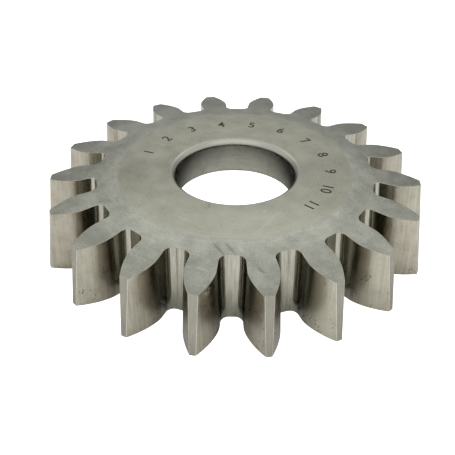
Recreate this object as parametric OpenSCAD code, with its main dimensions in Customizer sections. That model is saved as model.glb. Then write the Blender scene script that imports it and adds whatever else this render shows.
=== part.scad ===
// Disc gear shaper cutter: a ring of relieved involute teeth round a bored hub, in one piece.
// It lies on its cutting face, and the support face with the mouth of the bore is on top.
// Z is the axis of the bore, and Z = 0 is the plane of the tips of the cutting edges.
// Every cross-section is the same involute gear with less profile shift the higher it lies,
// so tips and flanks fall back from the cutting edges by the relief angle. The roots, which
// do no cutting, fall back by a smaller angle of their own.

/* [Gear data] */
// Module of the gears that the cutter makes
gear_module = 7; // [6:0.25:8]
// Number of teeth
teeth = 18; // [16:1:22]
// Pressure angle of the gears that the cutter makes, in degrees
pressure_angle = 20; // [14.5:0.5:25]
// Addendum, in modules
addendum_factor = 1.25; // [1:0.05:1.35]
// Depth of the roots below the pitch circle at the cutting edges, in modules
dedendum_factor = 1.43; // [1.2:0.01:1.6]
// Profile shift of the cutting edges
profile_shift = 0.65; // [-1:0.05:1.2]
// Radius of the fillet at the foot of each flank
root_fillet_r = 3; // [0.5:0.1:3.5]

/* [Cutting angles] */
// Fall of the tips and flanks behind the cutting edges, in degrees
relief_angle = 6; // [3:0.5:9]
// Fall of the roots behind the cutting edges, in degrees
root_relief_angle = 4; // [2:0.5:8]
// Slope of the conical cutting face towards the axis, in degrees
rake_angle = 5; // [0:0.5:10]

/* [Disc] */
// Height from the cutting edges to the support face
thickness = 28; // [24:0.5:34]
// Diameter of the flat support face
support_d = 90; // [70:1:98]
// Slope of the back of the teeth outside the support face, in degrees
back_bevel = 10; // [0:0.5:15]

/* [Bore] */
// Diameter of the bore
bore_d = 44.443; // [31.743:0.001:50.8]
// Height of the hub between the recess and the support face
hub_t = 14; // [10:0.5:18]
// Chamfer of the bore at the support face
bore_back_chamfer = 1.5; // [0.3:0.1:2.5]
// Chamfer of the bore at the recess
bore_front_chamfer = 0.5; // [0.2:0.1:1.5]

/* [Nut recess] */
// Diameter of the recess in the cutting face, which takes the clamping nut
recess_d = 80; // [64:1:90]
// Radius of the corner round the floor of the recess
recess_corner_r = 2; // [0.5:0.1:4]
// Chamfer of the mouth of the recess
recess_mouth_chamfer = 1; // [0.2:0.1:2]

/* [Hidden] */

pitch_r = gear_module * teeth / 2;
tooth_pitch = 360 / teeth;
front_tip_r = pitch_r + addendum_factor * gear_module + profile_shift;

// The rake and the relief bend the outline that the cutting edges show along the axis,
// so the flanks are ground at a slightly larger angle to bring it back to the true one.
ground_angle = atan(tan(pressure_angle) / (1 - tan(relief_angle) * tan(rake_angle)));
base_r = pitch_r * cos(ground_angle);

// The bevelled back meets the relieved tips at this height
bevel_rise = tan(back_bevel);
tip_h = (thickness - (front_tip_r - support_d / 2) * bevel_rise) / (1 - tan(relief_angle) * bevel_rise);
back_tip_r = front_tip_r - tip_h * tan(relief_angle);

recess_r = recess_d / 2;
recess_floor_z = thickness - hub_t;

// How far the tooth spaces run past the blank, and how finely their outline is drawn
clear = 0.8;
FLANK_STEPS = 14;
FILLET_STEPS = 6;
ROOT_STEPS = 4;
RIM_STEPS = 6;
ROUND_FN = 180;

// Height of the conical cutting face at radius r
function rake_z(r) = (front_tip_r - r) * tan(rake_angle);

// Profile shift of the cross-section at height z
function shift_at(z) = profile_shift - z * tan(relief_angle);

// Involute function of an angle, in degrees
function involute(a) = tan(a) * 180 / PI - a;

// Half of the angle that a tooth takes up at radius r, which stays the same below the base circle
function half_tooth(r, shift) =
    (PI * gear_module / 2 + 2 * shift * tan(pressure_angle)) / (2 * pitch_r) * 180 / PI
    + involute(ground_angle) - involute(acos(min(1, base_r / r)));

function polar(r, a) = [r * cos(a), r * sin(a)];

// Root radius of the cross-section at height z
function root_r(z) = pitch_r - dedendum_factor * gear_module + profile_shift - z * tan(root_relief_angle);

// Radius, just past the tips of that cross-section, at which a tooth space is closed
function rim_r(shift) = pitch_r + addendum_factor * gear_module + shift + clear;

// Fillet radius over this root, held down so that the two fillets of a space clear each other
function fillet_r(root, foot_a) = min(root_fillet_r, 0.97 * root * sin(foot_a) / (1 - sin(foot_a)));

// One side of the tooth space at height z, from the rim to the middle of the root. It is centred
// on the X axis, and the involute flank runs on as a radial line below the base circle.
function space_side(z) =
    let (
        shift = shift_at(z),
        root = root_r(z),
        half_pitch = tooth_pitch / 2,
        foot_a = half_pitch - half_tooth(base_r, shift),
        corner_r = fillet_r(root, foot_a),
        centre_r = root + corner_r,
        centre_a = foot_a - asin(corner_r / centre_r),
        flank = [for (i = [0:FLANK_STEPS])
            let (r = rim_r(shift) + (base_r - rim_r(shift)) * i / FLANK_STEPS)
            polar(r, half_pitch - half_tooth(r, shift))],
        fillet = [for (i = [0:FILLET_STEPS])
            let (a = foot_a + 90 + (centre_a + 90 - foot_a) * i / FILLET_STEPS)
            polar(centre_r, centre_a) + corner_r * [cos(a), sin(a)]],
        bottom = [for (i = [1:ROOT_STEPS])
            polar(root, centre_a * (1 - i / ROOT_STEPS))]
    )
    concat(flank, fillet, bottom);

// Outline of the tooth space at height z, closed by an arc outside the blank
function space_outline(z) =
    let (
        shift = shift_at(z),
        side = space_side(z),
        n = len(side),
        rim_a = tooth_pitch / 2 - half_tooth(rim_r(shift), shift)
    )
    concat(
        side,
        [for (i = [n - 2:-1:0]) [side[i][0], -side[i][1]]],
        [for (i = [1:RIM_STEPS - 1]) polar(rim_r(shift), -rim_a + 2 * rim_a * i / RIM_STEPS)]
    );

// Tooth space, lofted through the cross-sections below, at mid height and above the blank
module tooth_space() {
    levels = [-clear, thickness / 2, thickness + clear];
    rings = [for (z = levels) [for (p = space_outline(z)) [p[0], p[1], z]]];
    n = len(rings[0]);
    top = (len(levels) - 1) * n;
    low_centre = len(levels) * n;
    middle = [(root_r(0) + front_tip_r) / 2, 0];
    walls = [for (k = [0:len(levels) - 2], i = [0:n - 1])
        let (a = k * n + i, b = k * n + (i + 1) % n)
        each [[a, b + n, b], [a, a + n, b + n]]];
    floor_fan = [for (i = [0:n - 1]) [low_centre, i, (i + 1) % n]];
    roof_fan = [for (i = [0:n - 1]) [low_centre + 1, top + (i + 1) % n, top + i]];
    polyhedron(
        points = concat(
            [for (ring = rings) each ring],
            [[middle[0], middle[1], levels[0]], [middle[0], middle[1], levels[len(levels) - 1]]]
        ),
        faces = concat(walls, floor_fan, roof_fan)
    );
}

// Turned blank: relieved rim, raked front with the nut recess, bevelled back, chamfered bore
module blank() {
    mouth_r = recess_r + recess_mouth_chamfer;
    corner = [recess_r - recess_corner_r, recess_floor_z - recess_corner_r];
    rotate_extrude($fn = ROUND_FN)
        polygon(concat(
            [
                [bore_d / 2, thickness - bore_back_chamfer],
                [bore_d / 2, recess_floor_z + bore_front_chamfer],
                [bore_d / 2 + bore_front_chamfer, recess_floor_z]
            ],
            [for (i = [0:FILLET_STEPS])
                let (a = 90 - 90 * i / FILLET_STEPS)
                corner + recess_corner_r * [cos(a), sin(a)]],
            [
                [recess_r, rake_z(mouth_r) + recess_mouth_chamfer],
                [mouth_r, rake_z(mouth_r)],
                [front_tip_r, 0],
                [back_tip_r, tip_h],
                [support_d / 2, thickness],
                [bore_d / 2 + bore_back_chamfer, thickness]
            ]
        ));
}

module shaper_cutter() {
    color("#97978C")
        difference() {
            blank();
            for (i = [0:teeth - 1])
                rotate([0, 0, tooth_pitch * (i + 0.5)]) tooth_space();
        }
}

shaper_cutter();
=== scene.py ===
"""Looks of a disc gear shaper cutter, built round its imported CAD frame.

The cutter is one piece of ground high-speed steel. Its visual body is one closed sheet of four-sided faces
that follows the gear sections of the CAD source, with the edges broken and a finish of its own on each
ground surface, and it stands for the CAD node. Plain tooth numbers are marked on the support face.
Sizes are in millimetres and degrees until a mesh is made. The studio's floor and lights are set in metres.
"""

from __future__ import annotations

import logging
import math
import sys
from dataclasses import dataclass, field
from enum import Enum, auto
from typing import Callable

import bpy  # noqa: E402
from mathutils import Matrix, Vector  # noqa: E402


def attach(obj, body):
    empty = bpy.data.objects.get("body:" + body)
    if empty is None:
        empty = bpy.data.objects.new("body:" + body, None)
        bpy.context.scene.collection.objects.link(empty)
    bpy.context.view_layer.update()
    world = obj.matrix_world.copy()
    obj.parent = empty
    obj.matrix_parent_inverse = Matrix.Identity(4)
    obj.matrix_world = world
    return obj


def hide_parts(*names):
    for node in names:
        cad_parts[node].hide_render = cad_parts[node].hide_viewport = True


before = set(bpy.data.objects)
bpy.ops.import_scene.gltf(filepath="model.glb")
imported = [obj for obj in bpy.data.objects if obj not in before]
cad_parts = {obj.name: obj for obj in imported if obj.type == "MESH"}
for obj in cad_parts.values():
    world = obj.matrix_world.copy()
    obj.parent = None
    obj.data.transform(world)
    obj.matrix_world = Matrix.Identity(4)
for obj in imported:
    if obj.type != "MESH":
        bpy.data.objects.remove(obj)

LOG = logging.getLogger("shaper_cutter")
MM = 0.001
NODE = "shaper_cutter"
BODY = "root"
WHITE = "#FFFFFF"

# The colour sockets of a mix node share their names with the others, so they are reached by number
MIX_FROM, MIX_TO, MIX_RESULT = 6, 7, 2

Tree = bpy.types.NodeTree
Socket = bpy.types.NodeSocket
Place = tuple[float, float, float]  # coordinates of a point, or its radius, angle and height


class Zone(Enum):
    """Ground or turned surfaces of the cutter, each with a finish of its own."""

    SUPPORT_FACE = 0
    TOOTH_BACK = 1
    TIP_LAND = 2
    FLANK = 3
    ROOT = 4
    CUTTING_FACE = 5
    RECESS = 6
    BORE = 7
    CHAMFER = 8
    EDGE = 9
    TIP_CORNER = 10


class Lay(Enum):
    """Direction in which the wheel or the tool has left its lines."""

    AROUND = auto()
    ALONG = auto()
    STRAIGHT = auto()


class Stretch(Enum):
    """Stretches of the gear's outline, from the middle of a tooth to the middle of a space."""

    LAND = auto()
    INVOLUTE = auto()
    FILLET = auto()
    FLOOR = auto()


# Steps in which each stretch is drawn. The straight line below the base circle is part of the step into
# the fillet.
OUTLINE_STEPS: dict[Stretch, int] = {
    Stretch.LAND: 2,
    Stretch.INVOLUTE: 10,
    Stretch.FILLET: 8,
    Stretch.FLOOR: 3,
}

WALL_ZONES: dict[Stretch, Zone] = {
    Stretch.LAND: Zone.TIP_LAND,
    Stretch.INVOLUTE: Zone.FLANK,
    Stretch.FILLET: Zone.ROOT,
    Stretch.FLOOR: Zone.ROOT,
}


def linear(hex_colour: str) -> tuple[float, float, float, float]:
    """Turns an sRGB hex colour to linear light.

    Args:
        hex_colour: Six hex digits after a hash sign.

    Returns:
        Linear red, green, blue and an alpha of 1.
    """
    parts = [int(hex_colour[i : i + 2], 16) / 255 for i in (1, 3, 5)]
    light = [c / 12.92 if c <= 0.04045 else ((c + 0.055) / 1.055) ** 2.4 for c in parts]
    return (*light, 1.0)


def add_node(
    tree: Tree, kind: str, inputs: dict[str | int, object] | None = None, **settings: object
) -> bpy.types.Node:
    """Adds a node with its settings, values and links.

    Args:
        tree: Node tree that takes the node.
        kind: Blender's name of the node type, without the words ShaderNode in front.
        inputs: For each input, by name or number, a value or the output socket that feeds it.
        settings: Properties of the node.

    Returns:
        The new node.
    """
    node = tree.nodes.new("ShaderNode" + kind)
    for name, value in settings.items():
        setattr(node, name, value)
    for name, value in (inputs or {}).items():
        if isinstance(value, bpy.types.NodeSocket):
            tree.links.new(value, node.inputs[name])
        else:
            node.inputs[name].default_value = value
    return node


def new_material(name: str) -> tuple[bpy.types.Material, Tree]:
    """Starts a material.

    Args:
        name: Name of the material.

    Returns:
        The material and its node tree, which is empty.
    """
    material = bpy.data.materials.new(name)
    material.use_nodes = True
    material.node_tree.nodes.clear()
    return material, material.node_tree


def axis_distance(tree: Tree, place: Socket) -> Socket:
    """Measures how far a point lies from the bore's axis.

    Args:
        tree: Node tree of the material.
        place: Object coordinates, in metres.

    Returns:
        Output socket with the radius, in metres.
    """
    flat = add_node(tree, "VectorMath", {0: place, 1: (1, 1, 0)}, operation="MULTIPLY").outputs[0]
    return add_node(tree, "VectorMath", {0: flat}, operation="LENGTH").outputs["Value"]


def mark_distance(tree: Tree, place: Socket, middle: Place, size: Place, turn: float = 0.0) -> Socket:
    """Measures how far a point lies from the middle of an oval mark.

    Args:
        tree: Node tree of the material.
        place: Object coordinates, in metres.
        middle: Middle of the mark, in mm.
        size: Size of the mark along each of its own axes, in mm.
        turn: Turn of the mark about the vertical, in degrees.

    Returns:
        Output socket that is 0 in the middle and 1 on the outline.
    """
    oval = {
        "Vector": place,
        "Location": [c * MM for c in middle],
        "Rotation": (0, 0, math.radians(turn)),
        "Scale": [c * MM / 2 for c in size],
    }
    local = add_node(tree, "Mapping", oval, vector_type="TEXTURE").outputs[0]
    return add_node(tree, "VectorMath", {0: local}, operation="LENGTH").outputs["Value"]


def clear_selection() -> None:
    """Leaves edit mode and deselects everything."""
    if bpy.context.object is not None and bpy.context.object.mode != "OBJECT":
        bpy.ops.object.mode_set(mode="OBJECT")
    bpy.ops.object.select_all(action="DESELECT")


def apply_modifier(piece: bpy.types.Object, kind: str, **settings: object) -> None:
    """Adds a modifier to a piece and applies it.

    Args:
        piece: Mesh object.
        kind: Blender's name of the modifier type.
        settings: Properties of the modifier.
    """
    bpy.context.view_layer.objects.active = piece
    modifier = piece.modifiers.new(kind.title(), kind)
    for name, value in settings.items():
        setattr(modifier, name, value)
    bpy.ops.object.modifier_apply(modifier=modifier.name)


def close_mesh(merge: float) -> None:
    """Joins the points of the active piece that meet and turns its faces outwards.

    Args:
        merge: Distance within which points become one, in mm.
    """
    bpy.ops.object.mode_set(mode="EDIT")
    bpy.ops.mesh.select_all(action="SELECT")
    bpy.ops.mesh.remove_doubles(threshold=merge * MM)
    bpy.ops.mesh.normals_make_consistent(inside=False)
    bpy.ops.object.mode_set(mode="OBJECT")


@dataclass(frozen=True)
class Spot:
    """A soft mark of handling, or a patch of painted sheen or shade, that goes straight down through the
    steel.

    Attributes:
        x: Place across, in mm.
        y: Place along, in mm.
        length: Length of the mark, in mm.
        width: Width of the mark, in mm.
        turn: Direction of its length, in degrees.
        gain: How much lighter it makes the steel, below zero for darker.
        core: Share of its size over which it has its full strength.
        depth: Height of the mark, in mm, which is far more than the height of the part.
    """

    x: float
    y: float
    length: float
    width: float
    turn: float
    gain: float
    core: float = 0.2
    depth: float = 2000.0

    def shift(self, tree: Tree, place: Socket) -> Socket:
        """Draws the mark.

        Args:
            tree: Node tree of the material.
            place: Object coordinates, in metres.

        Returns:
            Output socket with the change of tone.
        """
        size = (self.length, self.width, self.depth)
        far = mark_distance(tree, place, (self.x, self.y, 0.0), size, self.turn)
        fall = {"Value": far, "From Min": self.core, "From Max": 1.0, "To Min": self.gain, "To Max": 0.0}
        return add_node(tree, "MapRange", fall, interpolation_type="SMOOTHSTEP").outputs[0]


@dataclass(frozen=True)
class Scuff:
    """A patch of fine bright scratches on a flank.

    Attributes:
        place: Middle of the patch, in mm.
        size: Size of the patch along each axis, in mm.
        gain: How densely it is scratched, from 0 to 1.
        tone: Tone of the scratches, sRGB.
        core: Share of its size over which it is scratched most densely.
        grain_mm: Size of the scratches, in mm.
        grain_span: Values of the noise at which a scratch begins and at which it is full.
    """

    place: Place
    size: Place
    gain: float
    tone: str = "#F0EDE2"
    core: float = 0.4
    grain_mm: float = 0.8
    grain_span: tuple[float, float] = (0.47, 0.55)

    def mask(self, tree: Tree, place: Socket) -> Socket:
        """Draws the patch.

        Args:
            tree: Node tree of the material.
            place: Object coordinates, in metres.

        Returns:
            Output socket that is 1 on a scratch.
        """
        far = mark_distance(tree, place, self.place, self.size)
        fall = {"Value": far, "From Min": self.core, "From Max": 1.0, "To Min": self.gain, "To Max": 0.0}
        near = add_node(tree, "MapRange", fall).outputs[0]
        fine = {"Vector": place, "Scale": 1 / (self.grain_mm * MM), "Detail": 2.0, "Distortion": 1.5}
        grain = add_node(tree, "TexNoise", fine).outputs["Fac"]
        begin, full = self.grain_span
        lines = add_node(tree, "MapRange", {"Value": grain, "From Min": begin, "From Max": full}).outputs[0]
        return add_node(tree, "Math", {0: lines, 1: near}, operation="MULTIPLY").outputs[0]


@dataclass(frozen=True)
class Pitting:
    """Small dark pits, which gather in patches and towards the cutting edges.

    Attributes:
        tone: Tone of the pits, sRGB.
        cell_mm: Room that each pit has to itself, in mm.
        dot_span: Distances from a pit's middle where it begins to fade and where it ends, in cells.
        patch_mm: Size of the patches, in mm.
        patch_span: Values of the noise at which pits appear and at which they are at their darkest.
        low_mm: Heights between which the gathering towards the cutting edges fades out, in mm.
        low_gain: Strength of that gathering.
    """

    tone: str = "#504A3F"
    cell_mm: float = 1.2
    dot_span: tuple[float, float] = (0.1, 0.32)
    patch_mm: float = 9.0
    patch_span: tuple[float, float] = (0.62, 0.74)
    low_mm: tuple[float, float] = (2.0, 14.0)
    low_gain: float = 0.12

    def mask(self, tree: Tree, place: Socket) -> Socket:
        """Scatters the pits.

        Args:
            tree: Node tree of the material.
            place: Object coordinates, in metres.

        Returns:
            Output socket that is 1 inside a pit.
        """
        cells = add_node(tree, "TexVoronoi", {"Vector": place, "Scale": 1 / (self.cell_mm * MM)})
        away, (fading, end) = cells.outputs["Distance"], self.dot_span
        dot = {"Value": away, "From Min": fading, "From Max": end, "To Min": 1.0, "To Max": 0.0}
        small = add_node(tree, "MapRange", dot).outputs[0]
        patches = {"Vector": place, "Scale": 1 / (self.patch_mm * MM), "Detail": 1.0}
        patch = add_node(tree, "TexNoise", patches).outputs["Fac"]
        height = add_node(tree, "SeparateXYZ", {0: place}).outputs[2]
        bottom, top = (z * MM for z in self.low_mm)
        rise = {"Value": height, "From Min": bottom, "From Max": top, "To Min": self.low_gain, "To Max": 0.0}
        low = add_node(tree, "MapRange", rise).outputs[0]
        often = add_node(tree, "Math", {0: patch, 1: low}, operation="ADD").outputs[0]
        first, full = self.patch_span
        there = add_node(tree, "MapRange", {"Value": often, "From Min": first, "From Max": full}).outputs[0]
        return add_node(tree, "Math", {0: small, 1: there}, operation="MULTIPLY").outputs[0]


@dataclass(frozen=True)
class GroundSteel:
    """Hardened high-speed steel with one ground finish.

    Attributes:
        name: Name of the material.
        dark: Darkest tone of the surface, sRGB.
        light: Lightest tone of the surface, sRGB.
        rough: Roughness of the smoothest and the dullest places.
        lay: Direction of the grinding lines.
        line_mm: Spacing of the grinding lines, in mm.
        line_run_mm: Length over which one line changes, in mm.
        line_gain: Strength of the lines in the tone, from 0 to 1.
        cloud_mm: Size of the cloudy changes of tone, in mm.
        cloud_gain: Strength of the clouds in the tone, from 0 to 1.
        bump_mm: Depth of the lines, in mm.
        brushed: How much the lines stretch the gloss across them, from 0 to 1.
        grit_gain: Strength of the fine speckle in the tone, from 0 to 1.
        fade_mm: Radii between which a painted shade shifts the tone, in mm.
        fade_gain: Shift of that painted shade from the inner to the outer of these radii, below zero for
            darker.
        spots: Soft marks of handling, and patches of painted sheen and shade.
        scuffs: Patches of fine bright scratches.
        pits: Small dark pits, if it has any.
        line_deg: Direction of straight lines, in degrees.
        grit_mm: Size of the fine speckle, in mm.
        swing: Factor that widens a noise, which keeps near its middle, to the whole range of the tone.
        cloud_span: Values of the cloud noise at the smoothest and the dullest places.
        edge_tint: Reflection at a grazing angle, as a share of an ideal metal's.
    """

    name: str
    dark: str
    light: str
    rough: tuple[float, float]
    lay: Lay
    line_mm: float
    line_run_mm: float
    line_gain: float
    cloud_mm: float
    cloud_gain: float
    bump_mm: float
    brushed: float = 0.0
    grit_gain: float = 0.2
    fade_mm: tuple[float, float] = (0.0, 0.0)
    fade_gain: float = 0.0
    spots: tuple[Spot, ...] = ()
    scuffs: tuple[Scuff, ...] = ()
    pits: Pitting | None = None
    line_deg: float = 35.0
    grit_mm: float = 0.5
    swing: float = 2.5
    cloud_span: tuple[float, float] = (0.3, 0.7)
    edge_tint: float = 0.75

    def _lay_vector(self, tree: Tree, place: Socket) -> Socket:
        """Makes the coordinates in which the grinding lines are noise.

        Args:
            tree: Node tree of the material.
            place: Object coordinates, in metres.

        Returns:
            Output socket of the stretched coordinates, one unit to each line.
        """
        across, along = 1 / (self.line_mm * MM), 1 / (self.line_run_mm * MM)
        if self.lay is Lay.ALONG:
            return add_node(tree, "Mapping", {"Vector": place, "Scale": (across, across, along)}).outputs[0]
        if self.lay is Lay.STRAIGHT:
            turn = (0, 0, math.radians(self.line_deg))
            turned = {"Vector": place, "Rotation": turn, "Scale": (across, along, along)}
            return add_node(tree, "Mapping", turned).outputs[0]
        radius = axis_distance(tree, place)
        height = add_node(tree, "SeparateXYZ", {0: place}).outputs[2]
        both = add_node(tree, "Math", {0: radius, 1: height}, operation="ADD").outputs[0]
        rings = add_node(tree, "Math", {0: both, 1: across}, operation="MULTIPLY").outputs[0]
        slow = add_node(tree, "VectorMath", {0: place, 1: (along, along, 0)}, operation="MULTIPLY").outputs[0]
        drift = add_node(tree, "SeparateXYZ", {0: slow})
        ringed = {0: rings, 1: drift.outputs[0], 2: drift.outputs[1]}
        return add_node(tree, "CombineXYZ", ringed).outputs[0]

    def _tone(self, tree: Tree, place: Socket, lines: Socket, clouds: Socket) -> Socket:
        """Adds up what makes the surface lighter or darker than its middle tone.

        Args:
            tree: Node tree of the material.
            place: Object coordinates, in metres.
            lines: Noise of the grinding lines.
            clouds: Noise of the clouds.

        Returns:
            Output socket that is 0 at the darkest tone and 1 at the lightest.
        """
        # Grit speckle, drawn at about 0.5 mm, because the real grit marks are too fine to show
        speckle = {"Vector": place, "Scale": 1 / (self.grit_mm * MM), "Detail": 2.0, "Roughness": 0.7}
        grit = add_node(tree, "TexNoise", speckle).outputs["Fac"]
        shifts = []
        for noise, gain in ((lines, self.line_gain), (clouds, self.cloud_gain), (grit, self.grit_gain)):
            span = self.swing * gain
            swung = add_node(tree, "Math", {0: noise, 1: span, 2: -span / 2}, operation="MULTIPLY_ADD")
            shifts.append(swung.outputs[0])
        shifts += [spot.shift(tree, place) for spot in self.spots]
        # Painted shade that shifts the tone between two radii
        if self.fade_gain:
            inner, outer = (r * MM for r in self.fade_mm)
            radius, half = axis_distance(tree, place), self.fade_gain / 2
            fade = {"Value": radius, "From Min": inner, "From Max": outer, "To Min": -half, "To Max": half}
            shifts.append(add_node(tree, "MapRange", fade).outputs[0])
        middle_tone = 0.5
        tone: Socket | float = middle_tone
        for shift in shifts:
            tone = add_node(tree, "Math", {0: tone, 1: shift}, operation="ADD").outputs[0]
        return tone

    def _colour(self, tree: Tree, place: Socket, tone: Socket) -> Socket:
        """Turns the tone to a colour and lays pits and scratches over it.

        Args:
            tree: Node tree of the material.
            place: Object coordinates, in metres.
            tone: Tone from 0 to 1.

        Returns:
            Output socket of the colour.
        """
        span = {0: tone, MIX_FROM: linear(self.dark), MIX_TO: linear(self.light)}
        colour = add_node(tree, "Mix", span, data_type="RGBA", clamp_factor=True).outputs[MIX_RESULT]
        marks = ((self.pits,) if self.pits else ()) + self.scuffs
        for mark in marks:
            over = {0: mark.mask(tree, place), MIX_FROM: colour, MIX_TO: linear(mark.tone)}
            colour = add_node(tree, "Mix", over, data_type="RGBA").outputs[MIX_RESULT]
        return colour

    def material(self) -> bpy.types.Material:
        """Builds the node tree of the finish.

        Returns:
            The new material.
        """
        material, tree = new_material(self.name)
        place = add_node(tree, "TexCoord").outputs["Object"]
        strokes = {"Vector": self._lay_vector(tree, place), "Scale": 1.0, "Detail": 2.0, "Roughness": 0.6}
        lines = add_node(tree, "TexNoise", strokes).outputs["Fac"]
        broad = {"Vector": place, "Scale": 1 / (self.cloud_mm * MM), "Detail": 4.0, "Roughness": 0.55}
        clouds = add_node(tree, "TexNoise", broad).outputs["Fac"]
        smoothest, dullest = self.rough
        low, high = self.cloud_span
        gloss = {"Value": clouds, "From Min": low, "From Max": high, "To Min": smoothest, "To Max": dullest}
        rough = add_node(tree, "MapRange", gloss).outputs[0]
        grooves = {"Height": lines, "Strength": 1.0, "Distance": self.bump_mm * MM}
        bump = add_node(tree, "Bump", grooves).outputs[0]
        # Gloss is blurred across the lines: a quarter turn from a tangent that runs round the axis
        if self.lay is Lay.AROUND:
            along = add_node(tree, "Tangent", direction_type="RADIAL", axis="Z").outputs[0]
            gloss_turns = 0.25
        else:
            along = add_node(tree, "CombineXYZ", {2: 1.0}).outputs[0]
            gloss_turns = 0.0
        shader = add_node(
            tree,
            "BsdfPrincipled",
            {
                "Base Color": self._colour(tree, place, self._tone(tree, place, lines, clouds)),
                "Metallic": 1.0,
                "Specular Tint": (self.edge_tint, self.edge_tint, self.edge_tint, 1.0),
                "Roughness": rough,
                "Normal": bump,
                "Anisotropic": self.brushed,
                "Anisotropic Rotation": gloss_turns,
                "Tangent": along,
            },
        )
        add_node(tree, "OutputMaterial", {"Surface": shader.outputs[0]})
        return material


@dataclass(frozen=True)
class LaserMark:
    """Dark oxide that a marking laser leaves on ground steel.

    Attributes:
        name: Name of the material.
        dark: Darkest tone, sRGB.
        light: Lightest tone, sRGB.
        pass_mm: Distance between the passes of the laser, in mm.
    """

    name: str = "laser_marked_steel"
    dark: str = "#2A2823"
    light: str = "#46433B"
    pass_mm: float = 0.3

    def material(self) -> bpy.types.Material:
        """Builds the node tree of the mark.

        Returns:
            The new material.
        """
        material, tree = new_material(self.name)
        place = add_node(tree, "TexCoord").outputs["Object"]
        # The passes leave the oxide uneven
        passes = {"Vector": place, "Scale": 1 / (self.pass_mm * MM), "Detail": 2.0}
        burn = add_node(tree, "TexNoise", passes).outputs["Fac"]
        span = {0: burn, MIX_FROM: linear(self.dark), MIX_TO: linear(self.light)}
        colour = add_node(tree, "Mix", span, data_type="RGBA").outputs[MIX_RESULT]
        shader = add_node(tree, "BsdfPrincipled", {"Base Color": colour, "Metallic": 0.3, "Roughness": 0.6})
        add_node(tree, "OutputMaterial", {"Surface": shader.outputs[0]})
        return material


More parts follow.
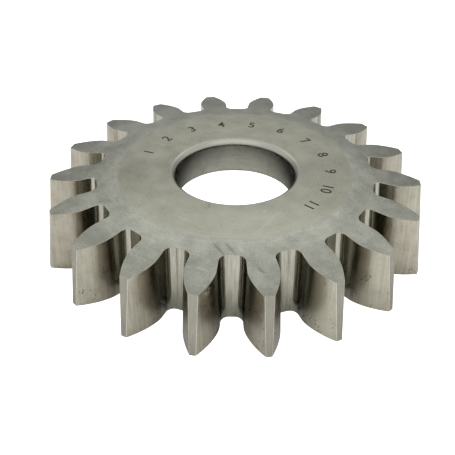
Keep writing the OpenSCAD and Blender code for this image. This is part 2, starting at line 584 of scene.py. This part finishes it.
# In each Spot: its place x and y, length, width, turn and gain. In each Scuff: its place, size and gain.
FINISHES: dict[Zone, GroundSteel] = {
    # Surface ground on a rotary table: satin, with faint rings, clouds and a few marks of handling
    Zone.SUPPORT_FACE: GroundSteel(
        name="support_face_ground", dark="#818177", light="#9D9D93", rough=(0.26, 0.32), lay=Lay.AROUND,
        line_mm=0.8, line_run_mm=30.0, line_gain=0.15, cloud_mm=7.0, cloud_gain=0.4, bump_mm=0.002,
        brushed=0.7, grit_gain=0.5,
        spots=(
            Spot(-28.6, 17.8, 3.0, 1.4, 20, 0.5),
            Spot(-33.7, -23.0, 1.4, 0.9, 0, 0.7),
            Spot(12.0, -34.0, 22.0, 1.2, 58, 0.25),
            Spot(-17.0, -33.0, 16.0, 1.0, -35, 0.2),
            Spot(-14.1, 21.4, 2.2, 1.2, 90, -1.0),
            Spot(-8.7, -24.7, 4.0, 0.9, 90, -0.6),
            Spot(10.7, -27.4, 2.4, 1.8, 0, 0.4),
            # Painted light: broad, faint patches of painted sheen and painted shade
            Spot(7.0, -36.5, 64.0, 34.0, 0, 0.28),
            Spot(-38.0, -6.0, 34.0, 16.0, 98, -0.25),
            Spot(36.0, -20.0, 24.0, 16.0, 60, -0.25),
        ),
    ),
    # Bevel over the teeth, ground with a finer wheel: cooler and a little smoother
    Zone.TOOTH_BACK: GroundSteel(
        name="tooth_back_ground", dark="#777871", light="#9A9B93", rough=(0.3, 0.36), lay=Lay.AROUND,
        line_mm=0.8, line_run_mm=12.0, line_gain=0.15, cloud_mm=5.0, cloud_gain=0.45, bump_mm=0.002,
        # Painted shade: the bevel is painted lighter near the support face and darker towards the tips
        brushed=0.3, grit_gain=0.5, fade_mm=(46.0, 62.0), fade_gain=-0.4,
        spots=(
            Spot(-4.5, -49.2, 9.5, 1.6, -56, -0.55),
            Spot(-0.9, -48.6, 9.5, 1.4, -56, -0.5),
            Spot(2.6, -49.0, 7.0, 1.6, -56, 0.35),
            Spot(-43.8, 27.0, 2.4, 1.2, 30, 0.5),
            Spot(-10.0, -57.8, 7.5, 1.0, -24, 0.4),
            Spot(9.4, -58.0, 5.0, 1.2, -50, -0.5),
            Spot(25.5, -56.4, 1.5, 1.0, -40, 1.2),
            # Painted light: broad, faint patches of painted sheen and painted shade
            Spot(-40.0, 37.0, 84.0, 26.0, 47, 0.38),
            Spot(-41.6, -24.0, 40.0, 14.0, -60, -0.3),
            Spot(41.6, -24.0, 40.0, 14.0, 60, -0.3),
            Spot(0.0, -62.0, 38.0, 14.0, 0, 0.32),
            Spot(-47.5, -40.0, 20.0, 14.0, -50, -0.32),
        ),
    ),
    # Conical relief over the tips: fine lines along the tooth
    Zone.TIP_LAND: GroundSteel(
        name="tip_land_ground", dark="#87857C", light="#A4A299", rough=(0.2, 0.28), lay=Lay.ALONG,
        line_mm=0.5, line_run_mm=12.0, line_gain=0.25, cloud_mm=8.0, cloud_gain=0.2, bump_mm=0.004,
        brushed=0.3,
    ),
    # Involute flanks ground along the tooth: glossy, with upright streaks and small pits
    Zone.FLANK: GroundSteel(
        name="flank_ground", dark="#7A7065", light="#B8B6AA", rough=(0.26, 0.34), lay=Lay.ALONG,
        line_mm=0.8, line_run_mm=30.0, line_gain=0.25, cloud_mm=5.0, cloud_gain=0.25, bump_mm=0.03,
        # Painted shade: the flanks are painted darker and browner towards the roots, in the gaps between the
        # teeth
        grit_gain=0.15, fade_mm=(57.0, 66.0), fade_gain=0.4,
        # Painted light: a few flanks are painted a little lighter or darker than the others
        spots=(
            Spot(28.5, -58.0, 26.0, 12.0, -63, 0.34),
            Spot(46.5, -44.0, 26.0, 12.0, -43, 0.1),
            Spot(-58.8, -25.0, 26.0, 12.0, 23, -0.08),
        ),
        scuffs=(
            Scuff((-7.7, -65.5, 23.2), (6.0, 6.0, 7.0), 1.0),
            Scuff((-7.0, -64.4, 17.0), (4.0, 4.0, 7.0), 0.6),
        ),
        pits=Pitting(),
    ),
    # Roots and fillets formed by the edge of the wheel: bright upright streaks
    Zone.ROOT: GroundSteel(
        name="root_ground", dark="#929189", light="#B8B7AC", rough=(0.14, 0.2), lay=Lay.ALONG,
        line_mm=0.7, line_run_mm=60.0, line_gain=0.7, cloud_mm=6.0, cloud_gain=0.15, bump_mm=0.015,
        brushed=0.3,
    ),
    # Conical rake face, ground to an even satin
    Zone.CUTTING_FACE: GroundSteel(
        name="cutting_face_ground", dark="#86857B", light="#97968A", rough=(0.24, 0.32), lay=Lay.AROUND,
        line_mm=0.5, line_run_mm=12.0, line_gain=0.2, cloud_mm=12.0, cloud_gain=0.25, bump_mm=0.004,
        brushed=0.4,
    ),
    # Nut recess left as turned before hardening: darker, with coarse rings
    Zone.RECESS: GroundSteel(
        name="recess_turned", dark="#67655B", light="#827F75", rough=(0.34, 0.44), lay=Lay.AROUND,
        line_mm=0.9, line_run_mm=20.0, line_gain=0.45, cloud_mm=10.0, cloud_gain=0.3, bump_mm=0.02,
        brushed=0.4,
    ),
    # Bore ground round its axis: fine rings
    Zone.BORE: GroundSteel(
        name="bore_ground", dark="#AEADA4", light="#D0D0C6", rough=(0.14, 0.22), lay=Lay.AROUND,
        line_mm=0.8, line_run_mm=16.0, line_gain=0.25, cloud_mm=4.0, cloud_gain=0.5, bump_mm=0.004,
    ),
    # Chamfers polished by hand: brighter than the faces beside them
    Zone.CHAMFER: GroundSteel(
        name="chamfer_polished", dark="#8B8B84", light="#9B9B94", rough=(0.24, 0.3), lay=Lay.AROUND,
        line_mm=0.5, line_run_mm=14.0, line_gain=0.1, cloud_mm=8.0, cloud_gain=0.15, bump_mm=0.003,
        brushed=0.7,
    ),
    # Stoned corners of the tip lands, painted lighter as a highlight: the brightest lines of the cutter
    Zone.TIP_CORNER: GroundSteel(
        name="tip_corner_painted_highlight", dark="#B2B0A7", light="#D0CEC5", rough=(0.26, 0.34), lay=Lay.ALONG,
        line_mm=0.5, line_run_mm=9.0, line_gain=0.3, cloud_mm=5.0, cloud_gain=0.3, bump_mm=0.003,
    ),
    # Other edges, broken lightly: thin lines much like the faces beside them
    Zone.EDGE: GroundSteel(
        name="edge_stoned", dark="#8A877D", light="#9C998F", rough=(0.26, 0.34), lay=Lay.STRAIGHT,
        line_mm=0.6, line_run_mm=6.0, line_gain=0.3, cloud_mm=5.0, cloud_gain=0.3, bump_mm=0.003,
    ),
}


@dataclass(frozen=True)
class GearForm:
    """Sizes of the cutter in mm and degrees, as the CAD source gives them.

    The visual support face lies lower by marks_room, so that the marks on it stay inside the CAD box.
    """

    gear_module: float = 7.0
    teeth: int = 18
    pressure_deg: float = 20.0
    addendum_factor: float = 1.25
    dedendum_factor: float = 1.43
    profile_shift: float = 0.65
    root_fillet_r: float = 3.0
    relief_deg: float = 6.0
    root_relief_deg: float = 4.0
    rake_deg: float = 5.0
    thickness: float = 28.0
    marks_room: float = 0.03
    support_r: float = 45.0
    bevel_deg: float = 10.0
    bore_r: float = 22.2215
    hub_t: float = 14.0
    bore_back_chamfer: float = 1.5
    bore_front_chamfer: float = 0.5
    recess_r: float = 40.0
    recess_corner_r: float = 2.0
    recess_mouth_chamfer: float = 1.0

    @property
    def pitch_r(self) -> float:
        """Radius of the pitch circle."""
        return self.gear_module * self.teeth / 2

    @property
    def tooth_pitch(self) -> float:
        """Angle from tooth to tooth."""
        return 360 / self.teeth

    @property
    def ground_deg(self) -> float:
        """Angle of the ground flanks, corrected for rake and relief."""
        relief, rake = math.tan(math.radians(self.relief_deg)), math.tan(math.radians(self.rake_deg))
        return math.degrees(math.atan(math.tan(math.radians(self.pressure_deg)) / (1 - relief * rake)))

    @property
    def base_r(self) -> float:
        """Radius of the base circle of the flanks."""
        return self.pitch_r * math.cos(math.radians(self.ground_deg))

    @property
    def back_z(self) -> float:
        """Height of the visual support face."""
        return self.thickness - self.marks_room

    @property
    def front_tip_r(self) -> float:
        """Radius of the tips at the cutting edges."""
        return self.pitch_r + self.addendum_factor * self.gear_module + self.profile_shift

    def shift_at(self, z: float) -> float:
        """Profile shift of the section at height z."""
        return self.profile_shift - z * math.tan(math.radians(self.relief_deg))

    def root_r(self, z: float) -> float:
        """Root radius of the section at height z."""
        foot_r = self.pitch_r - self.dedendum_factor * self.gear_module + self.profile_shift
        return foot_r - z * math.tan(math.radians(self.root_relief_deg))

    def half_tooth(self, r: float, z: float) -> float:
        """Half of the angle that a tooth takes up.

        Args:
            r: Radius, in mm.
            z: Height of the section, in mm.

        Returns:
            Angle in degrees.
        """
        tan_pressure = math.tan(math.radians(self.pressure_deg))
        arc = (math.pi * self.gear_module / 2 + 2 * self.shift_at(z) * tan_pressure) / (2 * self.pitch_r)

        def involute(a: float) -> float:
            """Involute function of an angle in radians."""
            return math.tan(a) - a

        here = math.acos(min(1.0, self.base_r / r))
        return math.degrees(arc + involute(math.radians(self.ground_deg)) - involute(here))

    def outline(self, stretch: Stretch, t: float, z: float) -> tuple[float, float]:
        """Finds a point of the gear section at height z.

        Args:
            stretch: Stretch of the outline, on the side of the tooth towards larger angles.
            t: Share of that stretch, from 0 at the tooth's middle side to 1.
            z: Height of the section, in mm.

        Returns:
            Radius, and angle from the middle of the tooth.
        """
        tip_r = self.front_tip_r - self.profile_shift + self.shift_at(z)
        root_r = self.root_r(z)
        foot = self.half_tooth(self.base_r, z)
        centre_r = root_r + self.root_fillet_r
        turn = math.degrees(math.asin(self.root_fillet_r / centre_r))
        if stretch is Stretch.LAND:
            return tip_r, t * self.half_tooth(tip_r, z)
        if stretch is Stretch.INVOLUTE:
            r = tip_r + (self.base_r - tip_r) * t
            return r, self.half_tooth(r, z)
        if stretch is Stretch.FLOOR:
            return root_r, foot + turn + (self.tooth_pitch / 2 - foot - turn) * t
        # The fillet is drawn with its centre on the X axis, where it starts on the tooth's side
        a = math.radians(-90 - turn - (90 - turn) * t)
        x = centre_r + self.root_fillet_r * math.cos(a)
        y = self.root_fillet_r * math.sin(a)
        return math.hypot(x, y), foot + turn + math.degrees(math.atan2(y, x))

    def front_height(self, r: float) -> float:
        """Height of the conical cutting face at radius r."""
        return (self.front_tip_r - r) * math.tan(math.radians(self.rake_deg))

    def back_height(self, r: float) -> float:
        """Height of the support face or of the bevel round it at radius r."""
        return self.back_z - max(0.0, r - self.support_r) * math.tan(math.radians(self.bevel_deg))


Column = tuple[Stretch, float, bool]  # stretch, share of it, and whether it is on the far side of the space
RowPlace = Callable[[int], Place]  # gives the place of the row in a column
Row = tuple[RowPlace, Zone | None]  # with the surface up to the next row, None where columns decide it


@dataclass
class CutterBody:
    """The steel body, as one closed sheet round the section of the disc.

    Attributes:
        form: Sizes of the gear and the disc.
        inner_share: Share of half a pitch that the inner rings give to the tooth.
        tooth_steps: Steps that they give to that share.
        face_rows: Rows across the cutting face and across the tooth backs.
        wall_rows: Rows up the flanks.
        bore_rows: Rows up the bore.
        arc_steps: Steps round each softened edge of the bore chamfer.
        corner_steps: Steps round the corner of the recess.
        floor_rings: Radii of the rings across the floor of the recess, in mm.
        face_rings: Radii of the rings across the support face, in mm.
        crease: Half width of the soft turn between support face and bevel, in mm.
        chamfer_deg: Slope of the bore chamfer, in degrees.
        lip_r: Radius that softens the outer edge of the bore chamfer, in mm.
        throat_r: Radius that softens its inner edge, in mm.
        edge_break: Width of the stoned edges, in mm.
        sharp_deg: Turn of the surface from which an edge is stoned, in degrees.
        merge: Distance within which points become one, in mm.
        upright: Largest slope, as the height of its normal, of an edge that counts as a tip corner.
        solve_steps: Repeats after which the height at which the wall meets a face has settled.
        columns: Columns of one pitch of the sheet, from the middle of a tooth to the middle of the next.
        angles: Angles at which they reach the inner rings, in degrees.
    """

    form: GearForm = field(default_factory=GearForm)
    inner_share: float = 0.46
    tooth_steps: int = 14
    face_rows: int = 5
    wall_rows: int = 5
    bore_rows: int = 3
    arc_steps: int = 4
    corner_steps: int = 5
    floor_rings: tuple[float, ...] = (28.0, 33.0)
    face_rings: tuple[float, ...] = (39.0, 33.0, 28.0)
    crease: float = 1.2
    chamfer_deg: float = 45.0
    lip_r: float = 1.4
    throat_r: float = 2.0
    edge_break: float = 0.1
    sharp_deg: float = 26.0
    merge: float = 0.002
    upright: float = 0.3
    solve_steps: int = 8
    columns: list[Column] = field(init=False)
    angles: list[float] = field(init=False)

    def __post_init__(self) -> None:
        """Lists the columns and their angles."""
        half = [(Stretch.LAND, 0.0)]
        for stretch, steps in OUTLINE_STEPS.items():
            half += [(stretch, (i + 1) / steps) for i in range(steps)]
        self.columns = [(*c, False) for c in half] + [(*c, True) for c in reversed(half[:-1])]

        half_pitch = self.form.tooth_pitch / 2
        edge = half_pitch * self.inner_share
        space_steps = len(half) - 1 - self.tooth_steps
        angles = [edge * i / self.tooth_steps for i in range(self.tooth_steps + 1)]
        angles += [edge + (half_pitch - edge) * (i + 1) / space_steps for i in range(space_steps)]
        self.angles = angles + [self.form.tooth_pitch - a for a in reversed(angles[:-1])]

    def rim(self, column: Column, share: float) -> Place:
        """Finds a point of the toothed wall.

        Args:
            column: One of the columns.
            share: Share of the way from the cutting face up to the back.

        Returns:
            Radius, angle and height.
        """
        stretch, t, far = column
        ends = []
        for height in (self.form.front_height, self.form.back_height):
            z = height(self.form.pitch_r)
            for _ in range(self.solve_steps):
                z = height(self.form.outline(stretch, t, z)[0])
            ends.append(z)
        z = ends[0] + (ends[1] - ends[0]) * share
        r, angle = self.form.outline(stretch, t, z)
        return r, self.form.tooth_pitch - angle if far else angle, z

    def ring(self, r: float, z: float) -> RowPlace:
        """A row at one radius and height."""
        return lambda c: (r, self.angles[c], z)

    def wall(self, share: float) -> RowPlace:
        """A row round the toothed wall, at a share of the way from the cutting face up to the back."""
        return lambda c: self.rim(self.columns[c], share)

    def face(self, height: Callable[[float], float], inner_r: float, share: float, t: float) -> RowPlace:
        """A row across a face.

        Args:
            height: Height of the face at a radius.
            inner_r: Radius of the ring that bounds the face, in mm.
            share: End of the toothed wall that bounds it, 0 at the front and 1 at the back.
            t: Share of the way from that ring to the wall.

        Returns:
            Function that gives the place of the row in a column.
        """

        def place(c: int) -> Place:
            """Finds the place of the row in a column.

            Args:
                c: Number of the column.

            Returns:
                Radius, angle and height.
            """
            rim_r, rim_angle, _ = self.rim(self.columns[c], share)
            r = inner_r + (rim_r - inner_r) * t
            return r, self.angles[c] + (rim_angle - self.angles[c]) * t, height(r)

        return place

    def arc(
        self, centre: tuple[float, float], radius: float, start: float, turn: float, steps: int
    ) -> list[RowPlace]:
        """Rows round an arc of the section.

        Args:
            centre: Radius and height of its centre, in mm.
            radius: Radius of the arc, in mm.
            start: Direction of its first point from the centre, in degrees.
            turn: Angle that it spans, in degrees.
            steps: Steps in which it is drawn.

        Returns:
            One row more than there are steps.
        """
        rows = []
        for i in range(steps + 1):
            a = math.radians(start + turn * i / steps)
            rows.append(self.ring(centre[0] + radius * math.cos(a), centre[1] + radius * math.sin(a)))
        return rows

    def front_rows(self) -> list[Row]:
        """Lists the rows from the lower end of the bore over the recess to the cutting edges.

        Returns:
            The rows, of which the last is one step inside the cutting edges.
        """
        form = self.form
        floor_z = form.thickness - form.hub_t
        mouth_r = form.recess_r + form.recess_mouth_chamfer
        mouth_z = form.front_height(mouth_r)
        corner = (form.recess_r - form.recess_corner_r, floor_z - form.recess_corner_r)
        rows: list[Row] = [
            (self.ring(form.bore_r, floor_z + form.bore_front_chamfer), Zone.CHAMFER),
            (self.ring(form.bore_r + form.bore_front_chamfer, floor_z), Zone.RECESS),
        ]
        rows += [(self.ring(r, floor_z), Zone.RECESS) for r in self.floor_rings]
        rounding = self.arc(corner, form.recess_corner_r, 90, -90, self.corner_steps)
        rows += [(row, Zone.RECESS) for row in rounding]
        rows.append((self.ring(form.recess_r, mouth_z + form.recess_mouth_chamfer), Zone.CHAMFER))
        for i in range(self.face_rows):
            rows.append((self.face(form.front_height, mouth_r, 0.0, i / self.face_rows), Zone.CUTTING_FACE))
        return rows

    def back_rows(self) -> list[Row]:
        """Lists the rows from the tips over the tooth backs and the support face to the bore.

        Returns:
            The rows, of which the last is one step above the first row of the front.
        """
        form = self.form
        crease_r = form.support_r + self.crease
        rows: list[Row] = []
        for i in range(self.face_rows):
            t = 1 - i / self.face_rows
            rows.append((self.face(form.back_height, crease_r, 1.0, t), Zone.TOOTH_BACK))
        rows.append((self.ring(crease_r, form.back_height(crease_r)), Zone.TOOTH_BACK))
        rows.append((self.ring(form.support_r - self.crease, form.back_z), Zone.SUPPORT_FACE))
        rows += [(self.ring(r, form.back_z), Zone.SUPPORT_FACE) for r in self.face_rings]

        # Each softened edge starts this share of its radius away from the sharp corner
        reach = math.tan(math.radians(self.chamfer_deg / 2))
        lip_r = form.bore_r + form.bore_back_chamfer - form.marks_room + self.lip_r * reach
        lip = self.arc((lip_r, form.back_z - self.lip_r), self.lip_r, 90, self.chamfer_deg, self.arc_steps)
        throat_z = form.thickness - form.bore_back_chamfer - self.throat_r * reach
        middle, start = (form.bore_r + self.throat_r, throat_z), 90 + self.chamfer_deg
        throat = self.arc(middle, self.throat_r, start, self.chamfer_deg, self.arc_steps)
        # The throat's last row is the first of the bore
        rows += [(row, Zone.CHAMFER) for row in lip + throat[:-1]]
        bore_z = form.thickness - form.hub_t + form.bore_front_chamfer
        for i in range(self.bore_rows):
            z = throat_z + (bore_z - throat_z) * i / self.bore_rows
            rows.append((self.ring(form.bore_r, z), Zone.BORE))
        return rows

    def rows(self) -> list[Row]:
        """Lists the rows of the sheet, from the bore round the cutting face, the teeth and the back."""
        walls: list[Row] = [(self.wall(i / self.wall_rows), None) for i in range(self.wall_rows)]
        return self.front_rows() + walls + self.back_rows()

    def wall_zone(self, first: int) -> Zone:
        """Tells which surface of the toothed wall lies between a column and the next."""
        column, after = self.columns[first], self.columns[first + 1]
        return WALL_ZONES[column[0] if after[2] else after[0]]

    def wrap(self, body: bpy.types.Object, rows: list[Row]) -> None:
        """Wraps a flat grid into one pitch of the body and gives its faces their finishes.

        Args:
            body: The grid, two units wide and high, with a vertex for each column and each end of a row.
            rows: Rows of the sheet, which closes on itself after the last one.
        """
        mesh, wide, high = body.data, len(self.columns) - 1, len(rows)
        cells = [(round((v.co.x + 1) / 2 * wide), round((v.co.y + 1) / 2 * high)) for v in mesh.vertices]
        for zone in Zone:
            mesh.materials.append(FINISHES[zone].material())
        for polygon in mesh.polygons:
            zone = rows[min(cells[v][1] for v in polygon.vertices)][1]
            if zone is None:
                zone = self.wall_zone(min(cells[v][0] for v in polygon.vertices))
            polygon.material_index = zone.value
        coordinates: list[float] = []
        for c, r in cells:
            radius, angle, z = rows[r % high][0](c)
            a = math.radians(angle)
            coordinates += [radius * math.cos(a) * MM, radius * math.sin(a) * MM, z * MM]
        mesh.vertices.foreach_set("co", coordinates)
        mesh.update()

    def spin(self) -> None:
        """Copies the pitch round the axis and joins the copies to one closed body."""
        bpy.ops.object.mode_set(mode="EDIT")
        bpy.ops.mesh.select_all(action="SELECT")
        bpy.ops.mesh.spin(
            steps=self.form.teeth - 1,
            dupli=True,
            angle=math.radians(360 - self.form.tooth_pitch),
            center=(0, 0, 0),
            axis=(0, 0, 1),
        )
        close_mesh(self.merge)

    def stone_edges(self, body: bpy.types.Object) -> None:
        """Breaks the edges and smooths the shading.

        Args:
            body: The closed body, with sharp edges.
        """
        apply_modifier(
            body,
            "BEVEL",
            width=self.edge_break * MM,
            segments=2,
            limit_method="ANGLE",
            angle_limit=math.radians(self.sharp_deg),
            use_clamp_overlap=False,
            material=Zone.EDGE.value,
        )
        for polygon in body.data.polygons:
            polygon.use_smooth = True
            # Upright bevels at the tip corners take the painted highlight
            if polygon.material_index == Zone.EDGE.value and abs(polygon.normal.z) < self.upright:
                polygon.material_index = Zone.TIP_CORNER.value
        apply_modifier(body, "WEIGHTED_NORMAL", keep_sharp=False, weight=50)

    def build(self) -> bpy.types.Object:
        """Wraps a grid into one pitch of the body, spins it round and breaks its edges.

        Returns:
            The finished piece.
        """
        rows = self.rows()
        clear_selection()
        wide = len(self.columns) - 1
        bpy.ops.mesh.primitive_grid_add(x_subdivisions=wide, y_subdivisions=len(rows), size=2.0)
        body = bpy.context.object
        body.name = body.data.name = "cutter_steel_body"
        self.wrap(body, rows)
        self.spin()
        self.stone_edges(body)
        return body

    def dress(self, body: bpy.types.Object) -> None:
        """Ties the body to the CAD frame in place of the CAD node.

        Args:
            body: The finished piece.
        """
        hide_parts(NODE)
        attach(body, BODY)


@dataclass
class ToothNumbers:
    """Plain tooth numbers, laser marked on the support face.

    Attributes:
        first_deg: Angle of the first number, in degrees.
        count: How many teeth are numbered, clockwise from the first.
        pitch_deg: Angle from number to number.
        radius: Radius of the middle of the digits, in mm.
        height: Height of the digits, in mm.
        face_z: Height of the face that carries them, in mm.
        depth: Thickness of the marks, of which half stands above the face, in mm.
        stroke: How far the outline of each digit is widened, in mm.
        digit_share: Height of Blender's own digits, as a share of their font size.
        spacing: Distance between digits, as a share of the font's own.
        curve_steps: Steps of each curve of a digit.
        merge: Distance within which points become one, in mm.
    """

    first_deg: float = 160.0
    count: int = 11
    pitch_deg: float = 20.0
    radius: float = 35.6
    height: float = 4.2
    face_z: float = 27.97
    depth: float = 0.03
    stroke: float = 0.07
    digit_share: float = 0.73
    spacing: float = 1.05
    curve_steps: int = 6
    merge: float = 0.001

    def build_number(self, index: int) -> bpy.types.Object:
        """Sets one number, turns it to a mesh and puts it in its place on the face.

        Args:
            index: Place of the number in the row, from 0.

        Returns:
            The number.
        """
        clear_selection()
        bpy.ops.object.text_add(location=(0, 0, 0))
        text = bpy.context.object.data
        text.body = str(index + 1)
        text.align_x = "CENTER"
        text.align_y = "CENTER"
        text.size = self.height / self.digit_share * MM
        text.space_character = self.spacing
        text.offset = self.stroke * MM
        text.extrude = self.depth / 2 * MM
        text.resolution_u = self.curve_steps
        bpy.ops.object.convert(target="MESH")
        number = bpy.context.object
        angle = math.radians(self.first_deg - index * self.pitch_deg)
        place = Vector((math.cos(angle) * self.radius, math.sin(angle) * self.radius, self.face_z)) * MM
        number.data.transform(Matrix.Translation(place) @ Matrix.Rotation(angle - math.pi / 2, 4, "Z"))
        number.data.update()
        return number

    def build(self) -> bpy.types.Object:
        """Sets all the numbers.

        Returns:
            The numbers as one piece.
        """
        made = [self.build_number(i) for i in range(self.count)]
        clear_selection()
        for number in made:
            number.select_set(True)
        bpy.context.view_layer.objects.active = made[0]
        bpy.ops.object.join()
        numbers = bpy.context.object
        numbers.name = numbers.data.name = "tooth_numbers"
        close_mesh(self.merge)
        return numbers

    def dress(self, numbers: bpy.types.Object) -> None:
        """Gives the numbers their burnt look and ties them to the body.

        Args:
            numbers: The numbers as one piece.
        """
        numbers.data.materials.clear()
        numbers.data.materials.append(LaserMark().material())
        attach(numbers, BODY)


@dataclass(frozen=True)
class Softbox:
    """A rectangular white area light.

    Attributes:
        name: Name of the light.
        place: Where it hangs, in metres.
        aim: Point that it faces, in metres.
        size: Width and height, in metres.
        power: Power, in watts.
    """

    name: str
    place: Place
    aim: Place
    size: tuple[float, float]
    power: float


@dataclass
class Studio:
    """Floor, soft light and the camera at the photograph's viewing angle.

    Attributes:
        elevation: Angle of the view above the floor, in degrees.
        azimuth: Turn of the view about the bore's axis, in degrees.
        roll: Roll of the camera, in degrees.
        distance: Distance from the camera to its target, in mm.
        target: Point that the camera looks at before it is turned by the azimuth, in mm.
        focal_px: Focal length in pixels of a frame that is frame_px wide.
        frame_px: Width of that frame.
        sensor: Width of the camera's sensor, in mm.
        clip: Nearest and farthest distances that the camera sees, in metres.
        boxes: The lights.
        floor_size: Width of the floor, in metres.
        board_white: Tone of the board, sRGB.
        table_light: Light of the table that the lens sees, where 1 is just white.
        room_light: Light of the room in front of the cutter at floor level and overhead.
        rear_span: Shares of the way to the back between which the rear light takes over.
        rear_room: Light of the room behind the cutter, against the sine of the angle above the horizon.
    """

    elevation: float = 35.0836
    azimuth: float = 1.164
    roll: float = 0.2979
    distance: float = 347.816
    target: Place = (-2.7342, 2.1568, 0.0)
    focal_px: float = 879.272
    frame_px: float = 455.0
    sensor: float = 36.0
    clip: tuple[float, float] = (0.01, 20.0)
    boxes: tuple[Softbox, ...] = (
        Softbox("front_softbox", place=(0.0, -1.0, 1.75), aim=(0.0, 0.0, 0.0), size=(2.6, 1.6), power=3.6),
    )
    floor_size: float = 6.0
    board_white: str = "#EEEEEE"
    table_light: float = 1.02
    room_light: tuple[float, float] = (1.0, 1.15)
    rear_span: tuple[float, float] = (0.1, 0.8)
    rear_room: tuple[tuple[float, float], ...] = (
        (0.0, 0.64), (0.42, 0.72), (0.54, 0.82), (0.61, 1.6), (0.74, 1.3), (0.88, 1.05),
    )

    def build_camera(self) -> bpy.types.Object:
        """Places the camera.

        Returns:
            The camera, which is also the scene's.
        """
        tilt, roll = math.radians(self.elevation), math.radians(self.roll)
        back = Vector((0, -math.cos(tilt), math.sin(tilt)))
        level, steep = Vector((1, 0, 0)), Vector((0, math.sin(tilt), math.cos(tilt)))
        right = level * math.cos(roll) + steep * math.sin(roll)
        up = steep * math.cos(roll) - level * math.sin(roll)
        pose = Matrix((right, up, back)).transposed().to_4x4()
        pose.translation = (Vector(self.target) + back * self.distance) * MM
        clear_selection()
        bpy.ops.object.camera_add()
        camera = bpy.context.object
        camera.name = "photo_camera"
        camera.data.sensor_width = self.sensor
        camera.data.lens = self.focal_px / self.frame_px * self.sensor
        camera.data.clip_start, camera.data.clip_end = self.clip
        camera.matrix_world = Matrix.Rotation(math.radians(self.azimuth), 4, "Z") @ pose
        bpy.context.scene.camera = camera
        return camera

    def build_floor(self) -> bpy.types.Object:
        """Lays the pale floor.

        Returns:
            The floor.
        """
        clear_selection()
        bpy.ops.mesh.primitive_plane_add(size=self.floor_size)
        floor = bpy.context.object
        floor.name = "studio_floor"
        material, tree = new_material("matt_white_board")
        matt = {"Base Color": linear(self.board_white), "Roughness": 0.9, "Specular IOR Level": 0.1}
        board = add_node(tree, "BsdfPrincipled", matt).outputs[0]
        # The lens alone sees an even white light table in its place, as in the cut-out photograph
        table = add_node(tree, "Emission", {"Color": linear(WHITE), "Strength": self.table_light}).outputs[0]
        seen = add_node(tree, "LightPath").outputs["Is Camera Ray"]
        both = add_node(tree, "MixShader", {0: seen, 1: board, 2: table}).outputs[0]
        add_node(tree, "OutputMaterial", {"Surface": both})
        floor.data.materials.append(material)
        return floor

    def build_lights(self) -> None:
        """Sets up the softboxes."""
        for box in self.boxes:
            clear_selection()
            bpy.ops.object.light_add(type="AREA", location=box.place)
            light = bpy.context.object
            light.name = box.name
            light.data.shape = "RECTANGLE"
            light.data.size, light.data.size_y = box.size
            light.data.energy = box.power
            aim = Vector(box.aim) - Vector(box.place)
            light.rotation_euler = aim.to_track_quat("-Z", "Y").to_euler()

    def build_room(self) -> None:
        """Lights the room itself, evenly in front of the cutter and in levels behind it."""
        world = bpy.data.worlds.new("studio_room")
        bpy.context.scene.world = world
        world.use_nodes = True
        tree = world.node_tree
        tree.nodes.clear()
        way = add_node(tree, "SeparateXYZ", {0: add_node(tree, "TexCoord").outputs["Generated"]})
        depth, height = way.outputs[1], way.outputs[2]
        floor_light, overhead_light = self.room_light
        front = {"Value": height, "To Min": floor_light, "To Max": overhead_light}
        room = add_node(tree, "MapRange", front).outputs[0]
        begin, full = self.rear_span
        back = {"Value": depth, "From Min": begin, "From Max": full}
        behind = add_node(tree, "MapRange", back, interpolation_type="SMOOTHSTEP").outputs[0]
        # A ramp holds no light above 1, so it is drawn at half its strength
        held = 0.5
        ramp = add_node(tree, "ValToRGB", {0: height})
        levels = ramp.color_ramp.elements
        given = len(levels)
        for i, (position, light) in enumerate(self.rear_room):
            level = levels[i] if i < given else levels.new(position)
            level.position, level.color = position, (light * held, light * held, light * held, 1.0)
        rear = add_node(tree, "Math", {0: ramp.outputs[0], 1: 1 / held}, operation="MULTIPLY").outputs[0]
        strength = add_node(tree, "Mix", {0: behind, 2: room, 3: rear}).outputs[0]
        sky = add_node(tree, "Background", {"Color": linear(WHITE), "Strength": strength})
        add_node(tree, "OutputWorld", {"Surface": sky.outputs[0]})


def main() -> None:
    """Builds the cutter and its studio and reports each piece."""
    logging.basicConfig(level=logging.INFO, format="%(name)s: %(message)s", stream=sys.stdout)
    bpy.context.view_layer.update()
    view = bpy.context.scene.view_settings
    view.view_transform, view.look = "Standard", "High Contrast"

    cutter = CutterBody()
    body = cutter.build()
    cutter.dress(body)
    numbering = ToothNumbers()
    numbers = numbering.build()
    numbering.dress(numbers)
    for piece in (body, numbers):
        size = [round(d / MM, 2) for d in piece.dimensions]
        LOG.info("%s: %d faces, box %s mm", piece.name, len(piece.data.polygons), size)

    studio = Studio()
    studio.build_floor()
    studio.build_lights()
    studio.build_room()
    camera = studio.build_camera()
    LOG.info("camera %s at %s m", camera.name, [round(x, 3) for x in camera.matrix_world.translation])


if __name__ == "__main__":
    main()
